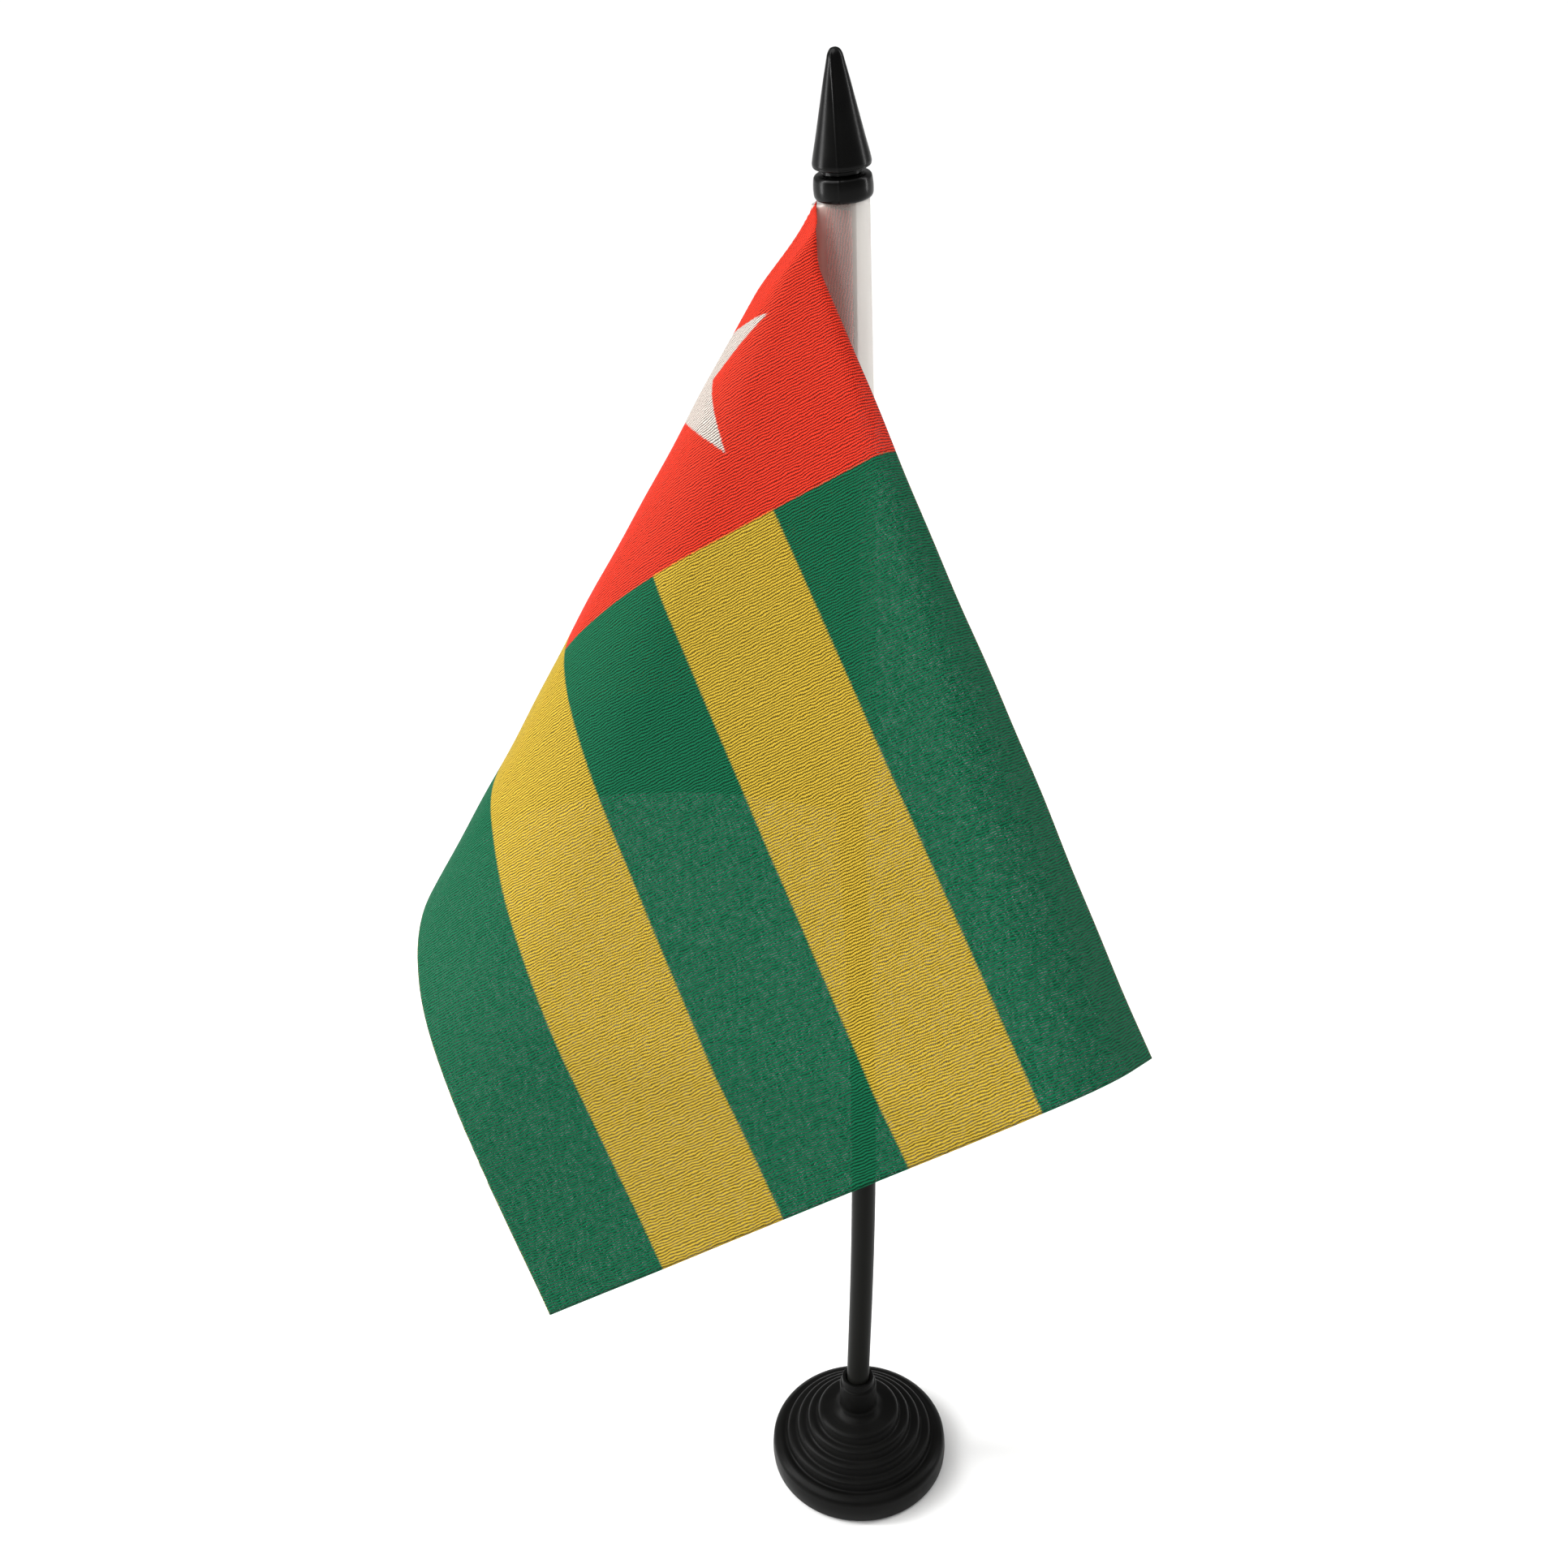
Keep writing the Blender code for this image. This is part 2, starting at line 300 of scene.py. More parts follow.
def turned_faces(rings, around):
    """Faces of a surface whose rings of points are closed round the axis and end in a single pole point each."""
    index = np.arange(rings * around).reshape(rings, around) + 1
    beside = np.roll(index, -1, axis=1)
    quads = np.stack([index[:-1], index[1:], beside[1:], beside[:-1]], axis=-1).reshape(-1, 4)
    last = rings * around + 1
    first_fan = np.stack([np.zeros(around, int), index[0], beside[0]], axis=-1)
    last_fan = np.stack([np.full(around, last), beside[-1], index[-1]], axis=-1)
    return quads.tolist() + first_fan.tolist() + last_fan.tolist()


def turned_piece(name, outline, around, finish, shape=None):
    """Sweeps the outline round Z: x = r cos a, y = r sin a, z = z. shape may move the points of the grid."""
    angle = np.linspace(0.0, 2 * math.pi, around, endpoint=False)
    radius, height = outline[1:-1, 0:1], outline[1:-1, 1:2]
    grid = np.stack([radius * np.cos(angle), radius * np.sin(angle), height + 0 * angle], axis=-1)
    poles = np.array([[0.0, 0.0, outline[0, 1]], [0.0, 0.0, outline[-1, 1]]])
    if shape is not None:
        grid, poles = shape(grid), shape(poles)
    points = np.concatenate([poles[:1], grid.reshape(-1, 3), poles[1:]])
    made = object_from(name, points, turned_faces(len(radius), around), finish)
    print(f"{name}: {len(points)} points, {len(radius)} rings")
    return made


# %% [markdown]
# ## The foot
#
# The real foot is one moulding: a rounded rim, four terraces that step up towards the middle, and a socket boss with
# a small collar. Underneath it is hollow to save plastic, with ribs from the boss to the rim. The terraces are
# written as a repeated group of corners, and the pockets push the flat underside up between the ribs.

# %% Foot outline
foot_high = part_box("base")[1]
FOOT_RADIUS = foot_high.x
BOSS_TOP = foot_high.z
STICK_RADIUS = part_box("pole")[1].x
RUNNING_GAP = 0.1 * MM
SOCKET_RADIUS = STICK_RADIUS + RUNNING_GAP
SOCKET_FLOOR = 6.0 * MM
TERRACES = 4
TERRACE_RUN = 2.275 * MM
TERRACE_RISE = 2.025 * MM
TERRACE_INNER = 7.2 * MM
TERRACE_TOP = 15.0 * MM


def foot_outline():
    """Socket floor, socket wall, collar, boss, terraces, rim and underside, as corners with their rounding."""
    corners = [
        (0.0, SOCKET_FLOOR, 0.0),
        (SOCKET_RADIUS, SOCKET_FLOOR, 0.0),
        (SOCKET_RADIUS, BOSS_TOP, 0.35 * MM),
        (3.3 * MM, BOSS_TOP, 0.25 * MM),
        (3.35 * MM, BOSS_TOP - 1.5 * MM, 0.35 * MM),
        (3.85 * MM, BOSS_TOP - 1.9 * MM, 0.3 * MM),
        (3.9 * MM, TERRACE_TOP + 1.3 * MM, 1.6 * MM),
        (5.2 * MM, TERRACE_TOP + 0.25 * MM, 0.8 * MM),
        (TERRACE_INNER - 0.9 * MM, TERRACE_TOP + 0.05 * MM, 0.3 * MM),
    ]
    for terrace in range(TERRACES):
        r, z = TERRACE_INNER + TERRACE_RUN * terrace, TERRACE_TOP - TERRACE_RISE * terrace
        corners += [
            (r + 0.52 * TERRACE_RUN, z - 0.10 * TERRACE_RISE, 0.95 * MM),
            (r + 0.76 * TERRACE_RUN, z - 1.08 * TERRACE_RISE, 0.50 * MM),
        ]
    corners += [
        (16.95 * MM, 7.0 * MM, 0.5 * MM),
        (18.45 * MM, 6.1 * MM, 1.2 * MM),
        (FOOT_RADIUS + 0.1 * MM, 3.2 * MM, 1.4 * MM),
        (18.55 * MM, 0.8 * MM, 0.8 * MM),
        (17.6 * MM, 0.0, 0.5 * MM),
    ]
    top = rounded(corners, steps=9)[:-1]
    under_radius = np.concatenate([
        [17.2 * MM], np.linspace(15.45, 15.15, 8) * MM, np.linspace(14.7, 5.6, 20) * MM,
        np.linspace(5.3, 5.0, 8) * MM, [3.0 * MM, 0.0],
    ])
    under = np.stack([under_radius, np.zeros_like(under_radius)], axis=1)
    return np.concatenate([top, under])


outline = foot_outline()
print("foot outline:", len(outline), "points, widest", round(float(outline[:, 0].max()) / MM, 2), "mm")

# %% Foot with its pockets
RIBS = 6
RIB_HALF = 0.75 * MM
POCKET_INNER, POCKET_OUTER = 5.15 * MM, 15.3 * MM
POCKET_WALL = 0.14 * MM
CEILING_AT, CEILING = np.array([5.0, 15.2]) * MM, np.array([11.2, 4.4]) * MM


def ease(low, high, x):
    """0 below low, 1 above high, and the smooth cubic 3t^2 - 2t^3 in between."""
    t = np.clip((x - low) / (high - low), 0.0, 1.0)
    return t * t * (3 - 2 * t)


def hollowed(grid):
    """Lifts the underside between the ribs: height = ceiling(radius) x between pocket radii x away from a rib."""
    x, y, z = grid[..., 0], grid[..., 1], grid[..., 2]
    radius = np.hypot(x, y)
    sector = 2 * math.pi / RIBS
    angle = np.mod(np.arctan2(y, x) + 1e-9, sector)
    from_rib = radius * np.sin(np.minimum(angle, sector - angle))
    inside = ease(POCKET_INNER - POCKET_WALL, POCKET_INNER + POCKET_WALL, radius)
    inside = inside * (1 - ease(POCKET_OUTER - POCKET_WALL, POCKET_OUTER + POCKET_WALL, radius))
    inside = inside * ease(RIB_HALF - POCKET_WALL, RIB_HALF + POCKET_WALL, from_rib)
    ceiling = np.interp(radius, CEILING_AT, CEILING)
    under = z < 0.01 * MM
    grid[..., 2] = np.where(under, ceiling * inside, z)
    return grid


foot = turned_piece("foot", outline, 360, foot_black, hollowed)
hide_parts("base")
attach(foot, "base")

# %% [markdown]
# ## The stick
#
# A drawn plastic rod. On its way through the drawing die it picks up faint lines along its length, which the
# stretched grain of its material gives, and its ends are cut square with the edge just broken. Such a thin rod is
# never quite straight: its free length bows a little to the right. Inside the socket and the pocket it stays on its
# axis, so that it can still be pulled and the pocket can still turn round it.

# %% Stick
stick_low, stick_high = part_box("pole")
stick_outline = rounded([
    (0.0, stick_high.z, 0.0),
    (STICK_RADIUS, stick_high.z, 0.4 * MM),
    (STICK_RADIUS, stick_low.z, 0.4 * MM),
    (0.0, stick_low.z, 0.0),
])
# more rings on the long side, so that it can bend
run = np.linspace(0.0, 1.0, 40)[1:-1, None]
middle = len(stick_outline) // 2
between = stick_outline[middle - 1] * (1 - run) + stick_outline[middle] * run
stick_outline = np.concatenate([stick_outline[:middle], between, stick_outline[middle:]])
BOW = 1.85 * MM


def bowed(grid):
    """Bends the free length between foot and pocket sideways: x moves by BOW times half a sine wave of height."""
    share = np.clip((grid[..., 2] - BOSS_TOP) / (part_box("sleeve")[0].z - BOSS_TOP), 0.0, 1.0)
    return grid + np.stack([BOW * np.sin(math.pi * share), 0 * share, 0 * share], axis=-1)


stick = turned_piece("stick", stick_outline, 96, stick_black, bowed)
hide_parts("pole")
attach(stick, "pole")

# %% [markdown]
# ## The cap
#
# The cap is pushed over the stick's top end: a collar with soft edges, a narrow groove, then a cone that swells very
# slightly before its blunt tip. It comes from a two-part mould, so a hair of a parting line runs down its front and
# back, as a narrow ridge in the radius near the mould's parting plane. It was not pushed on quite straight, so its
# outside leans by three degrees.

# %% Cap
cap_low, cap_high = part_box("finial")
BORE_DEPTH = 12.0 * MM
BORE_TOP = cap_low.z + BORE_DEPTH


def cap_outline():
    """Tip, crowned cone, lip, groove, collar, mouth and bore."""
    cone = [(0.45, 290.82), (0.82, 290.52), (1.07, 290.05), (1.23, 289.45), (1.38, 288.75), (1.82, 286.9),
            (2.11, 285.6), (2.38, 284.3), (2.66, 283.0), (2.94, 281.7), (3.22, 280.4), (3.50, 279.1), (3.80, 277.8)]
    corners = [(0.0, cap_high.z, 0.0)]
    corners += [(r * MM, z * MM, 0.3 * MM) for r, z in cone]
    corners += [
        (4.10 * MM, 276.5 * MM, 0.4 * MM),
        (4.26 * MM, 275.6 * MM, 0.4 * MM),
        (4.10 * MM, 275.05 * MM, 0.6 * MM),
        (2.75 * MM, 274.80 * MM, 0.12 * MM),
        (2.75 * MM, 274.25 * MM, 0.12 * MM),
        (4.14 * MM, 274.10 * MM, 0.9 * MM),
        (4.32 * MM, 272.3 * MM, 0.6 * MM),
        (4.2 * MM, cap_low.z, 0.9 * MM),
        (SOCKET_RADIUS, cap_low.z, 0.35 * MM),
        (SOCKET_RADIUS, BORE_TOP, 0.0),
        (0.0, BORE_TOP, 0.0),
    ]
    return rounded(corners, steps=8)


CAP_LEAN = math.radians(-2.9)
CAP_SHIFT = 0.54 * MM
LEAN_PIVOT = cap_low.z + 2.0 * MM
PARTING_X, PARTING_WIDTH, PARTING_HEIGHT = -0.55 * MM, 0.13 * MM, 0.10 * MM


def parted(grid):
    """Raises a hair ridge along the mould's parting plane, then leans the outside by CAP_LEAN about the collar.

    The bore stays upright on the stick: only points outside its radius are leant and shifted."""
    x, y, z = grid[..., 0].copy(), grid[..., 1], grid[..., 2].copy()
    radius = np.maximum(np.hypot(x, y), 1e-6)
    outer = ((radius > SOCKET_RADIUS + 0.05 * MM) | (z > BORE_TOP + 0.1 * MM)).astype(float)
    ridge = PARTING_HEIGHT * np.exp(-((x - PARTING_X) / PARTING_WIDTH) ** 2)
    ridge = ridge * outer * ease(0.3 * MM, 1.0 * MM, radius)
    x, y = x * (1 + ridge / radius), y * (1 + ridge / radius)
    above = z - LEAN_PIVOT
    leant_x = x * math.cos(CAP_LEAN) + above * math.sin(CAP_LEAN) + CAP_SHIFT
    leant_z = LEAN_PIVOT + above * math.cos(CAP_LEAN) - x * math.sin(CAP_LEAN)
    return np.stack([x + (leant_x - x) * outer, y, z + (leant_z - z) * outer], axis=-1)


cap = turned_piece("cap", cap_outline(), 256, cap_black, parted)
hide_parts("finial")
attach(cap, "finial")

# %% [markdown]
# ## How the cloth is folded
#
# A cloth this thin bends but does not stretch, so its surface is developable: any drape is the flat sheet bent along
# straight lines. That gives an exact way to shape it. The flat sheet has coordinates u, from the hoist to the fly,
# and v, from the top edge down. Fans of straight creases are laid over it, and the part beyond each crease is turned
# about it by a degree or so, the farthest crease first. Lengths along the sheet never change, so the stripes and
# the weave stay true wherever the cloth goes.

# %% Folding
FLY_LENGTH = 150.0 * MM
HOIST_HEIGHT = 100.0 * MM
HOIST_AT_TOP = 18.8 * MM
HOIST_TOP = 269.3 * MM
HOIST_SKEW = math.radians(9.3)
EXIT_TURN = math.radians(-5.3)
UNDER_FILM = 0.22 * MM
TUCK_LIFT = 1.2 * MM
sleeve_low, sleeve_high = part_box("sleeve")
SLEEVE_HALF_WIDTH = sleeve_high.x
SLEEVE_HALF_DEPTH = sleeve_high.y

# first crease and last crease of a fan, each as (u on the top edge in mm, angle to that edge), whole turn, count
CREASE_FANS = (
    ((19.9, 96.0), (19.9, 72.0), -41.6, 16),
    ((19.9, 72.0), (20.2, 54.1), -68.8, 26),
    ((26.3, 61.0), (26.9, 44.1), -45.6, 20),
    ((27.2, 8.4), (27.8, 2.5), -64.0, 30),
    ((165.3, 124.8), (161.4, 117.4), -9.5, 8),
)


def folded(u, v):
    """Turns the points beyond each crease about it, by Rodrigues' formula, the farthest crease first."""
    points = np.stack([u, v, np.zeros_like(u)], axis=-1)
    creases = []
    for near, far, turn_of_fan, count in CREASE_FANS:
        share = (np.arange(count) + 0.5) / count
        where = (near[0] + (far[0] - near[0]) * share) * MM
        angle = np.radians(near[1] + (far[1] - near[1]) * share)
        creases += [(w, a, math.radians(turn_of_fan) / count) for w, a in zip(where, angle)]
    for where, angle, turn_by in reversed(creases):
        along = np.array([math.cos(angle), math.sin(angle), 0.0])
        foot_of = np.array([where, 0.0, 0.0])
        beyond = (u - where) * along[1] - v * along[0] > 0
        arm = points[beyond] - foot_of
        swung = np.cross(along, arm) * math.sin(turn_by)
        kept = np.outer(arm @ along, along) * (1 - math.cos(turn_by))
        points[beyond] = foot_of + arm * math.cos(turn_by) + swung + kept
    return points


def sleeve_front(x):
    """How far the pocket's front stands before the stick's axis: a lens shape, blunt at the fold on the right."""
    t = np.clip(np.abs(x) / SLEEVE_HALF_WIDTH, 0.0, 1.0)
    return SLEEVE_HALF_DEPTH * (1 - t ** 2.2) ** 0.8


def past_hoist(u, v):
    """Distance from the skewed hoist line, square to it: (u - u0) cos skew + v sin skew. Negative in the pocket."""
    return (u - HOIST_AT_TOP) * math.cos(HOIST_SKEW) + v * math.sin(HOIST_SKEW)


def hung(points, u, v):
    """Places folded points on the pocket: past the hoist line they swing free, short of it they lie inside."""
    across = past_hoist(points[..., 0], points[..., 1])
    down = points[..., 1] * math.cos(HOIST_SKEW) - (points[..., 0] - HOIST_AT_TOP) * math.sin(HOIST_SKEW)
    x = -across * math.cos(EXIT_TURN) + points[..., 2] * math.sin(EXIT_TURN) - SLEEVE_HALF_WIDTH
    y = -across * math.sin(EXIT_TURN) - points[..., 2] * math.cos(EXIT_TURN)
    z = HOIST_TOP - down
    flat_across = past_hoist(u, v)
    tucked = flat_across < 0
    # inside the pocket the cloth follows the film at a small distance, found by its run along the film
    inner_x = np.linspace(-SLEEVE_HALF_WIDTH, 0.8 * SLEEVE_HALF_WIDTH, 400)
    inner_y = -(sleeve_front(inner_x) - UNDER_FILM * ease(0.0, 1.2 * MM, inner_x + SLEEVE_HALF_WIDTH))
    run_of = np.concatenate([[0.0], np.cumsum(np.hypot(np.diff(inner_x), np.diff(inner_y)))])
    x = np.where(tucked, np.interp(-flat_across, run_of, inner_x), x)
    y = np.where(tucked, np.interp(-flat_across, run_of, inner_y), y)
    z = z + TUCK_LIFT * ease(0.0, 3.0 * MM, -flat_across)
    return np.stack([x, y, z], axis=-1)


whole_turn = sum(fan[2] for fan in CREASE_FANS)
print("creases:", sum(fan[3] for fan in CREASE_FANS), "turning", round(whole_turn), "degrees")

# %% [markdown]
# ## The cloth as a mesh
#
# The grid follows the cut: its first column is the trimmed hoist inside the pocket, which is cut 9 degrees askew to
# the print, and its last column is the fly. Two copies of the grid, half a thickness to each side, are joined round
# the rim into one closed shell. The flat coordinates are kept as the UV map, so the print and the weave are drawn
# in the cloth's own plane. Very shallow waves, a tenth of a millimetre or so, keep the drape from looking ruled.

# %% Cloth grid
CLOTH_THICKNESS = 0.07 * MM
TUCK = 6.8 * MM
FIRST_FREE = 0.02 * MM
PINCH_AT = 22 * MM
PINCH_SHIFT = np.array([1.9, -0.25, 0.9]) * MM
COLUMNS_TUCKED, COLUMNS_FREE, ROWS = 12, 232, 150


def cloth_flat_grid():
    """Flat (u, v) of the grid: rows run from the hoist cut, along the skewed hoist line, to the fly."""
    v = np.linspace(0.0, HOIST_HEIGHT, ROWS + 1)
    across = np.append(np.linspace(-TUCK, 0.0, COLUMNS_TUCKED + 1)[:-1], FIRST_FREE)[:, None]
    near_hoist = HOIST_AT_TOP + (across - v * math.sin(HOIST_SKEW)) / math.cos(HOIST_SKEW)
    start = near_hoist[-1]
    share = np.linspace(0.0, 1.0, COLUMNS_FREE + 1)[:, None]
    u = np.concatenate([near_hoist[:-1], start + (FLY_LENGTH - start) * share])
    return u, np.broadcast_to(v, u.shape).copy()


def grid_normals(points):
    """Unit normals of a grid: the cross product of its differences along rows and along columns."""
    along = np.gradient(points, axis=0)
    down = np.gradient(points, axis=1)
    across = np.cross(along, down)
    return across / np.linalg.norm(across, axis=-1, keepdims=True)


def waves(u, v):
    """Shallow swell in the cloth's normal: three crossed sines, fading out at the hoist."""
    swell = 0.16 * np.sin(u / (9.5 * MM) + 0.6 * np.sin(v / (17 * MM)))
    swell += 0.12 * np.sin(v / (7.0 * MM) + 1.3 + u / (31 * MM))
    swell += 0.05 * np.sin(u / (3.1 * MM) + v / (4.3 * MM))
    return swell * MM * ease(2 * MM, 25 * MM, past_hoist(u, v))


def pinched(points, u, v):
    """Draws the top of the fold in against the pocket: a smooth shift that fades 11 mm away along the cloth."""
    away = np.hypot(u - PINCH_AT, 0.8 * v)
    amount = (1 - ease(2.5 * MM, 11 * MM, away)) * ease(0.0, 1.0 * MM, past_hoist(u, v))
    return points + amount[..., None] * PINCH_SHIFT


u, v = cloth_flat_grid()
middle_layer = pinched(hung(folded(u, v), u, v), u, v)
normals = grid_normals(middle_layer)
middle_layer = middle_layer + normals * waves(u, v)[..., None]
print("cloth grid:", u.shape)
print("from", np.round(middle_layer.min((0, 1)) / MM, 1), "to", np.round(middle_layer.max((0, 1)) / MM, 1), "mm")


# %% Cloth shell
UV_UNIT_MM = 100.0


def shell_from_grid(name, centre, u, v, thickness, finish):
    """A closed shell of a grid: one skin each side, joined round the rim. Its UV map is (u, v) in decimetres."""
    normal = grid_normals(centre)
    points = np.concatenate([centre + normal * thickness / 2, centre - normal * thickness / 2])
    columns, rows = centre.shape[:2]
    index = np.arange(columns * rows).reshape(columns, rows)
    one = np.stack([index[:-1, :-1], index[1:, :-1], index[1:, 1:], index[:-1, 1:]], axis=-1).reshape(-1, 4)
    other = one[:, ::-1] + columns * rows
    loop = np.concatenate([index[:-1, 0], index[-1, :-1], index[:0:-1, -1], index[0, :0:-1]])
    ahead = np.roll(loop, -1)
    rim = np.stack([ahead, loop, loop + columns * rows, ahead + columns * rows], axis=-1)
    faces = np.concatenate([one, other, rim])
    made = object_from(name, points, faces.tolist(), finish)
    flat = np.stack([u, v], axis=-1).reshape(-1, 2) / (UV_UNIT_MM * MM)
    flat = np.concatenate([flat, flat])[faces.ravel()]
    layer = made.data.uv_layers.new(name="flat")
    layer.data.foreach_set("uv", flat.astype(np.float32).ravel())
    return made


# %% [markdown]
# ## Printed polyester
#
# The cloth is thin plain-woven polyester with a rib: thick weft ribs run down the flag every 0.4 mm, and finer warp
# threads cross them every 0.27 mm, each row shifted by half a thread. Painted shade darkens the hollows between the
# threads and a painted highlight lightens their crests, and through the tiny gaps a little light comes from behind.
# Where two dyes meet they bleed into each other over a third of a millimetre. The star is the cloth left unprinted.


# %% Math node helpers
def calc(tree, operation, a, b=0.0, c=0.0):
    """One Math node, returned as its output socket."""
    return wire(tree, "ShaderNodeMath", {"operation": operation}, i0=a, i1=b, i2=c).outputs[0]


def step(tree, value, edge, soft):
    """1 where value is above edge, 0 below it, over a width of 2 soft."""
    node = wire(tree, "ShaderNodeMapRange", {"interpolation_type": "SMOOTHSTEP"}, Value=value)
    node.inputs["From Min"].default_value = edge - soft
    node.inputs["From Max"].default_value = edge + soft
    return node.outputs[0]


def blend_colour(tree, share, a, b):
    """A mix of two colours by a share: a (1 - share) + b share."""
    node = tree.nodes.new("ShaderNodeMix")
    node.data_type = "RGBA"
    for socket, value in ((node.inputs[0], share), (node.inputs[6], a), (node.inputs[7], b)):
        if isinstance(value, bpy.types.NodeSocket):
            tree.links.new(value, socket)
        else:
            socket.default_value = (*value, 1.0)
    return node.outputs[2]


# %% Print
RED, GREEN = (0.54, 0.029, 0.012), (0.0025, 0.098, 0.042)
YELLOW, UNPRINTED = (0.400, 0.278, 0.025), (0.45, 0.40, 0.362)
STAR_CENTRE = (32.4, 26.5)
STAR_RADIUS = 17.3
STAR_TURN = math.radians(6.0)
STAR_EDGE = (0.309, 0.951)
STRIPE, CANTON = 20.0, 60.0
BLEED = 0.16


def star_share(tree, u_mm, v_mm):
    """1 inside a five-pointed star. The angle is folded into one tenth of a turn, where the edge is one straight
    line through the tip, its normal (sin 18, cos 18) degrees."""
    x = calc(tree, "SUBTRACT", u_mm, STAR_CENTRE[0])
    y = calc(tree, "SUBTRACT", STAR_CENTRE[1], v_mm)
    angle = calc(tree, "SUBTRACT", calc(tree, "ARCTAN2", x, y), STAR_TURN)
    fold = calc(tree, "PINGPONG", angle, math.pi / 5)
    far = calc(tree, "SQRT", calc(tree, "ADD", calc(tree, "MULTIPLY", x, x), calc(tree, "MULTIPLY", y, y)))
    along = calc(tree, "MULTIPLY", far, calc(tree, "COSINE", fold))
    beside = calc(tree, "MULTIPLY", far, calc(tree, "SINE", fold))
    past = calc(tree, "MULTIPLY", calc(tree, "SUBTRACT", along, STAR_RADIUS), STAR_EDGE[0])
    edge = calc(tree, "ADD", past, calc(tree, "MULTIPLY", beside, STAR_EDGE[1]))
    return calc(tree, "SUBTRACT", 1.0, step(tree, edge, 0.0, BLEED))


def printed(tree, u_mm, v_mm, wobble):
    """Stripes, a square canton and the star, with edges that wander by a thread. All lengths are in mm."""
    u_edge = calc(tree, "ADD", u_mm, wobble)
    v_edge = calc(tree, "ADD", v_mm, wobble)
    off_middle = calc(tree, "PINGPONG", calc(tree, "SUBTRACT", v_edge, STRIPE / 2), STRIPE)
    in_yellow = step(tree, off_middle, STRIPE / 2, BLEED * 1.4)
    stripes = blend_colour(tree, in_yellow, GREEN, YELLOW)
    short_of_u = step(tree, calc(tree, "SUBTRACT", CANTON, u_edge), 0.0, BLEED)
    short_of_v = step(tree, calc(tree, "SUBTRACT", CANTON, v_edge), 0.0, BLEED)
    canton = calc(tree, "MULTIPLY", short_of_u, short_of_v)
    field = blend_colour(tree, canton, stripes, RED)
    return blend_colour(tree, star_share(tree, u_edge, v_edge), field, UNPRINTED)


# %% Cloth material
RIB_PITCH, THREAD_PITCH = 0.40, 0.27
RIB_SHARE, THREAD_SHARE = 0.65, 0.35
# factors on the print: painted shade in the weave's hollows and painted highlight on its crests
HOLLOW_PAINTED_SHADE, CREST_PAINTED_HIGHLIGHT = 0.10, 1.72
THROUGH_LIGHT = 0.30
OPEN_ABOVE, OPEN_SOFT, OPEN_MOST = 0.74, 0.16, 0.48


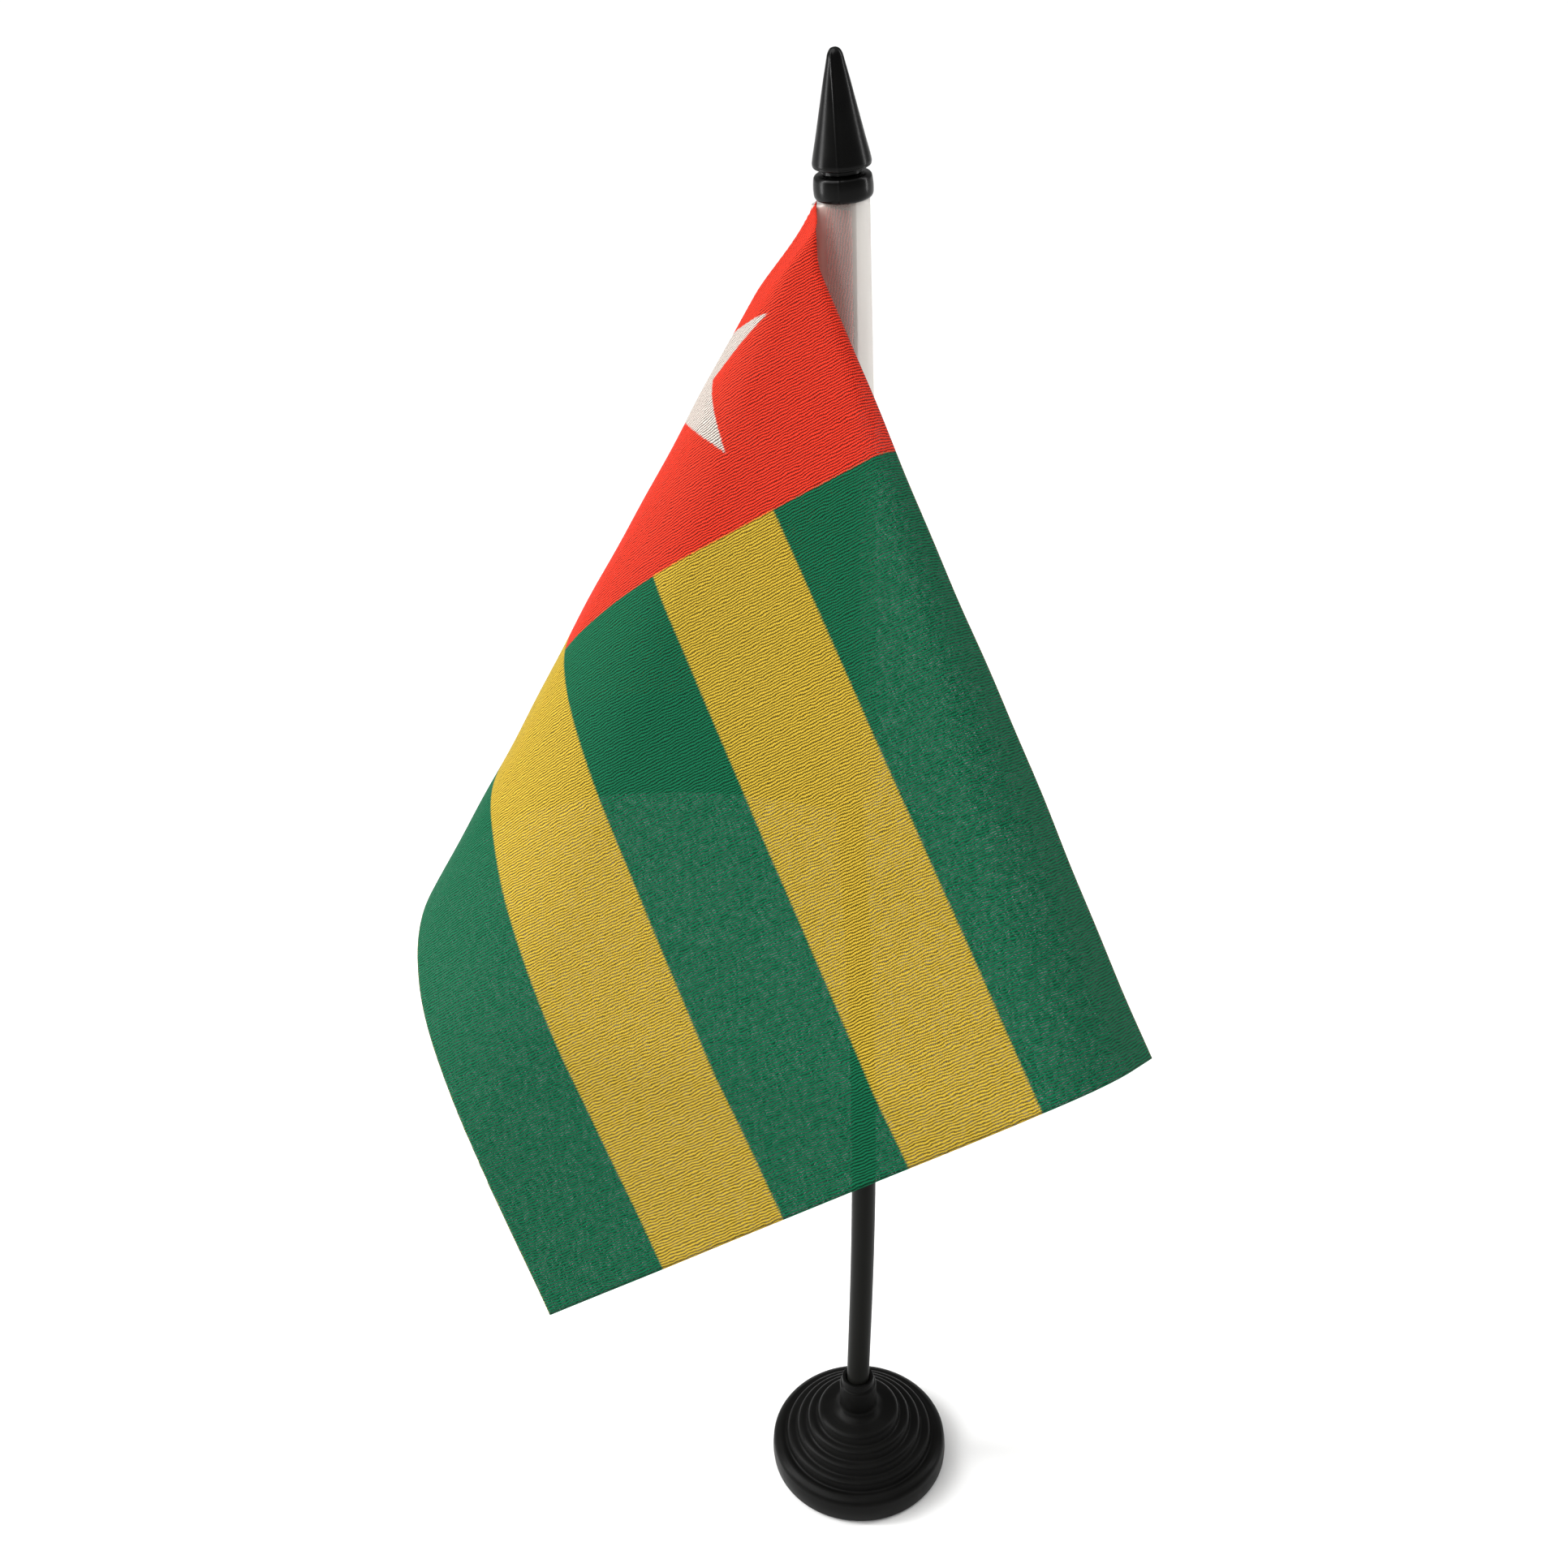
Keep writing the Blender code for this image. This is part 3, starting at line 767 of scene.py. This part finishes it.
def flag_material():
    """Printed weave: the print times painted shade and painted highlight from the weave's height, some light through
    it, and gaps.
    """
    made, tree, shader = plain("printed_polyester", RED, 0.72)
    coordinate = wire(tree, "ShaderNodeUVMap", {"uv_map": "flat"})
    split = wire(tree, "ShaderNodeSeparateXYZ", Vector=coordinate.outputs[0])
    u_mm = calc(tree, "MULTIPLY", split.outputs[0], UV_UNIT_MM)
    v_mm = calc(tree, "MULTIPLY", split.outputs[1], UV_UNIT_MM)
    drift = wire(tree, "ShaderNodeTexNoise", {"noise_dimensions": "2D"}, Vector=coordinate.outputs[0], Scale=60.0)
    ragged = wire(tree, "ShaderNodeTexNoise", {"noise_dimensions": "2D"}, Vector=coordinate.outputs[0], Scale=300.0)
    wobble = calc(tree, "MULTIPLY", calc(tree, "SUBTRACT", ragged.outputs[0], 0.5), 0.35)
    colour = printed(tree, u_mm, v_mm, wobble)
    # weave: height of the ribs and of the threads that cross them, shifted by half a thread on every other rib
    u_drifted = calc(tree, "MULTIPLY_ADD", drift.outputs[0], 0.5, u_mm)
    rib_number = calc(tree, "FLOOR", calc(tree, "DIVIDE", u_drifted, RIB_PITCH))
    rib_phase = calc(tree, "MULTIPLY", u_drifted, 2 * math.pi / RIB_PITCH)
    rib = calc(tree, "MULTIPLY_ADD", calc(tree, "COSINE", rib_phase), -0.5, 0.5)
    shift = calc(tree, "MULTIPLY", rib_number, THREAD_PITCH / 2)
    thread_phase = calc(tree, "MULTIPLY", calc(tree, "ADD", v_mm, shift), 2 * math.pi / THREAD_PITCH)
    thread = calc(tree, "MULTIPLY_ADD", calc(tree, "COSINE", thread_phase), 0.5, 0.5)
    height = calc(tree, "ADD", calc(tree, "MULTIPLY", rib, RIB_SHARE), calc(tree, "MULTIPLY", thread, THREAD_SHARE))
    slub = calc(tree, "MULTIPLY_ADD", ragged.outputs[0], 0.25, height)
    # painted shade and painted highlight: the print is darkened in the weave's hollows and lightened on its crests
    tone = ranged(tree, slub, 0.3, 0.9, HOLLOW_PAINTED_SHADE, CREST_PAINTED_HIGHLIGHT)
    woven = wire(tree, "ShaderNodeVectorMath", {"operation": "SCALE"}, i0=colour, Scale=tone)
    tree.links.new(woven.outputs[0], shader.inputs["Base Color"])
    shader.inputs["Sheen Weight"].default_value = 0.03
    shader.inputs["Sheen Roughness"].default_value = 0.4
    shader.inputs["Specular IOR Level"].default_value = 0.10
    bump = wire(tree, "ShaderNodeBump", Height=height, Strength=0.6, Distance=0.00006)
    tree.links.new(bump.outputs[0], shader.inputs["Normal"])
    # light through the cloth, and a little straight through its gaps, which the pocket's seal has closed
    glow = wire(tree, "ShaderNodeBsdfTranslucent", Color=woven.outputs[0])
    lit = wire(tree, "ShaderNodeMixShader", i0=THROUGH_LIGHT, i1=shader.outputs[0], i2=glow.outputs[0])
    thread_number = calc(tree, "FLOOR", calc(tree, "DIVIDE", calc(tree, "ADD", v_mm, shift), THREAD_PITCH))
    cell = wire(tree, "ShaderNodeCombineXYZ", X=rib_number, Y=thread_number)
    chance = wire(tree, "ShaderNodeTexWhiteNoise", {"noise_dimensions": "2D"}, Vector=cell.outputs[0])
    across = calc(tree, "MULTIPLY", calc(tree, "SUBTRACT", u_mm, HOIST_AT_TOP / MM), math.cos(HOIST_SKEW))
    across = calc(tree, "MULTIPLY_ADD", v_mm, math.sin(HOIST_SKEW), across)
    free = step(tree, across, 0.0, 0.5)
    open_share = calc(tree, "MULTIPLY", calc(tree, "MULTIPLY", chance.outputs["Value"], OPEN_MOST), free)
    hollow = step(tree, calc(tree, "SUBTRACT", 1.0, height), OPEN_ABOVE, OPEN_SOFT)
    gap = calc(tree, "MULTIPLY", hollow, open_share)
    hole = wire(tree, "ShaderNodeBsdfTransparent")
    whole = wire(tree, "ShaderNodeMixShader", i0=gap, i1=lit.outputs[0], i2=hole.outputs[0])
    tree.links.new(whole.outputs[0], tree.nodes["Material Output"].inputs["Surface"])
    return made


flag = shell_from_grid("flag", middle_layer, u, v, CLOTH_THICKNESS, flag_material())
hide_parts("flag_cloth")
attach(flag, "flag")
print("flag:", len(flag.data.polygons), "faces")

# %% [markdown]
# ## The film pocket
#
# A strip of milky film is folded round the stick and its two edges are heat-sealed over the hoist of the cloth. The
# fold is on the right and the sealed lips on the left, where the cloth leaves. In plan it is a lens with an open
# left end. The seal leaves a slightly crinkled band along the lips. The film is a veil: the black stick and the
# cloth show through it greyed where it lies tight on them, and it is paler in its loose fold. Along the lips its
# colour is painted lighter, as painted light that makes up for the shade the cloth's fold casts on the pocket.

# %% Film pocket
FILM = 0.1 * MM
FILM_RIGHT = 0.3 * MM
LIPS_APART = 0.16 * MM
CORNER_CUT = 0.7 * MM
SEAL_X, SEAL_WIDTH = -2.2 * MM, 0.45 * MM
FILM_AROUND, FILM_UP = 97, 140


def film_plan(count):
    """Plan of the pocket's middle line: front lip, front, fold at the right, back and back lip."""
    t = np.linspace(0.0, 2 * math.pi, count)
    x = -0.988 * SLEEVE_HALF_WIDTH * np.cos(t)
    apart = np.maximum(sleeve_front(x), LIPS_APART * (x < 0))
    return np.stack([x, -np.sign(np.sin(t)) * apart], axis=1)


def film_points():
    """The plan swept up the stick. The seal is crinkled, the top left corner is cut, and the loose fold leans out
    a little lower down."""
    plan = film_plan(FILM_AROUND)
    height = np.linspace(sleeve_low.z + 0.3 * MM, cap_low.z - 0.05 * MM, FILM_UP)
    x = np.repeat(plan[:, :1], len(height), axis=1)
    y = np.repeat(plan[:, 1:], len(height), axis=1)
    share = (height - height[0]) / (height[-1] - height[0])
    z = height + 0 * x - CORNER_CUT * share ** 12 * ease(1.8 * MM, 4.0 * MM, -x)
    seal = np.exp(-((x - SEAL_X) / SEAL_WIDTH) ** 2)
    crinkle = 0.07 * MM * seal * (np.sin(z / (0.42 * MM)) + 0.7 * np.sin(z / (0.9 * MM) + 2.0) - 0.6)
    down = np.clip((sleeve_high.z - z) / (35 * MM), 0.0, 1.0)
    x = x + (FILM_RIGHT + 0.45 * MM * down) * ease(-1 * MM, 4 * MM, x)
    y = y + np.sign(y) * crinkle
    return np.stack([x, y, z], axis=-1)


# the first colour is painted light on the left lips, where the cloth's fold shades the pocket
LIP_PAINTED_LIGHT, PRESSED, LOOSE = (0.85, 0.74, 0.66), (0.50, 0.40, 0.36), (0.84, 0.79, 0.73)
THIN_VEIL, THICK_VEIL, LOOSE_VEIL = 0.36, 0.42, -0.02


def film_material():
    """Milky film: an alpha veil, greyer where it lies tight on the cloth and paler in the loose fold on the right.
    Along the left lips its colour is painted lighter, as painted light against the shade the cloth's fold casts there.
    """
    made, tree, shader = plain("milky_film", (0.5, 0.5, 0.5), 0.35)
    place = wire(tree, "ShaderNodeTexCoord")
    long = wire(tree, "ShaderNodeMapping", Vector=place.outputs["Object"], Scale=(1.0, 1.0, 0.10))
    cloud = wire(tree, "ShaderNodeTexNoise", Vector=long.outputs[0], Scale=420.0, Detail=1.0)
    tick_place = wire(tree, "ShaderNodeMapping", Vector=place.outputs["Object"], Scale=(0.25, 1.0, 1.6))
    ticks = wire(tree, "ShaderNodeTexNoise", Vector=tick_place.outputs[0], Scale=700.0, Detail=1.0)
    split = wire(tree, "ShaderNodeSeparateXYZ", Vector=place.outputs["Object"])
    # painted light on the left lips, fading past the seal into the grey where the film lies on the cloth
    painted_lip_light_and_pressed = blend_colour(tree, step(tree, split.outputs[0], SEAL_X, 1.8 * MM), LIP_PAINTED_LIGHT, PRESSED)
    loose = step(tree, split.outputs[0], 1.8 * MM, 1.0 * MM)
    tree.links.new(blend_colour(tree, loose, painted_lip_light_and_pressed, LOOSE), shader.inputs["Base Color"])
    haze = ranged(tree, cloud.outputs[0], 0.3, 0.7, THIN_VEIL, THICK_VEIL)
    tree.links.new(calc(tree, "MULTIPLY_ADD", loose, LOOSE_VEIL, haze), shader.inputs["Alpha"])
    height = calc(tree, "MULTIPLY_ADD", ticks.outputs[0], 0.8, cloud.outputs[0])
    bump = wire(tree, "ShaderNodeBump", Height=height, Strength=0.2, Distance=0.00003)
    tree.links.new(bump.outputs[0], shader.inputs["Normal"])
    shine = wire(tree, "ShaderNodeBsdfAnisotropic", Roughness=0.25, Normal=bump.outputs[0])
    both = wire(tree, "ShaderNodeMixShader", i0=0.03, i1=shader.outputs[0], i2=shine.outputs[0])
    tree.links.new(both.outputs[0], tree.nodes["Material Output"].inputs["Surface"])
    return made


sleeve_grid = film_points()
film = shell_from_grid("film_pocket", sleeve_grid, sleeve_grid[..., 0], sleeve_grid[..., 2], FILM, film_material())
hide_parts("sleeve")
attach(film, "flag")
print("film pocket:", len(film.data.polygons), "faces")
